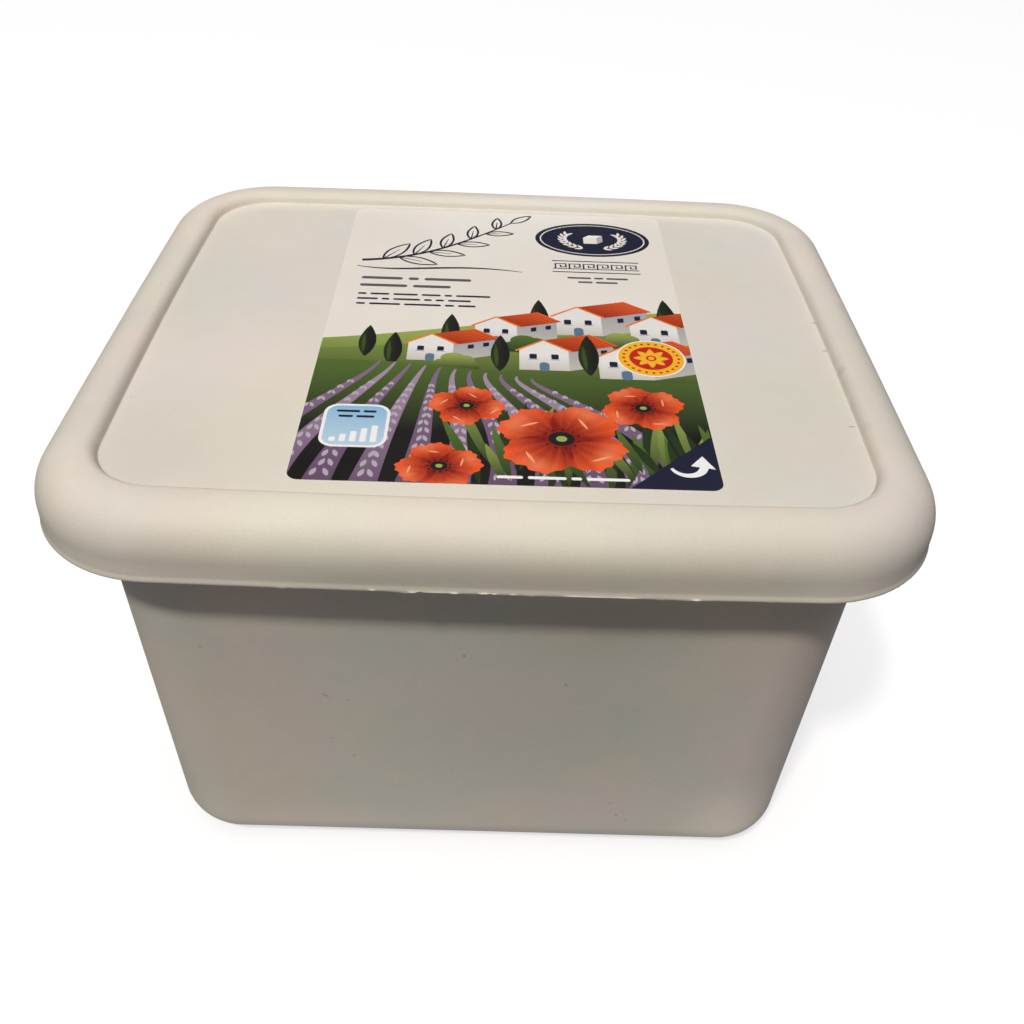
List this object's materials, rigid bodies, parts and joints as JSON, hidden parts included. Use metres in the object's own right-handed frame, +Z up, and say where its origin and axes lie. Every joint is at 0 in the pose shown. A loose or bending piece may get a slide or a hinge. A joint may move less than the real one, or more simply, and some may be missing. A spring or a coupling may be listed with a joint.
{
  "type": "closed tub of diced cheese",
  "caption": "Shut plastic food tub with tapered walls, a press-on lid with a wide rolled rim and a flat label on the lid, standing on its base.",
  "frame": {"origin": "middle of the flat base, on the surface that the tub stands on", "axes": "+X to the right along the long side, +Y to the back, +Z up through the lid; the front faces -Y"},
  "size_m": [0.1914, 0.1702, 0.1236],
  "materials": {
    "tub_plastic": "fine-grained warm white polypropylene, satin",
    "lid_plastic": "fine-grained warm white polypropylene, satin, the flat panel a little glossier",
    "label_film": "printed film sticker, soft gloss"
  },
  "bodies": {
    "root": {"tub": "tub_plastic", "lid": "lid_plastic", "label": "label_film"}
  },
  "joints": []
}
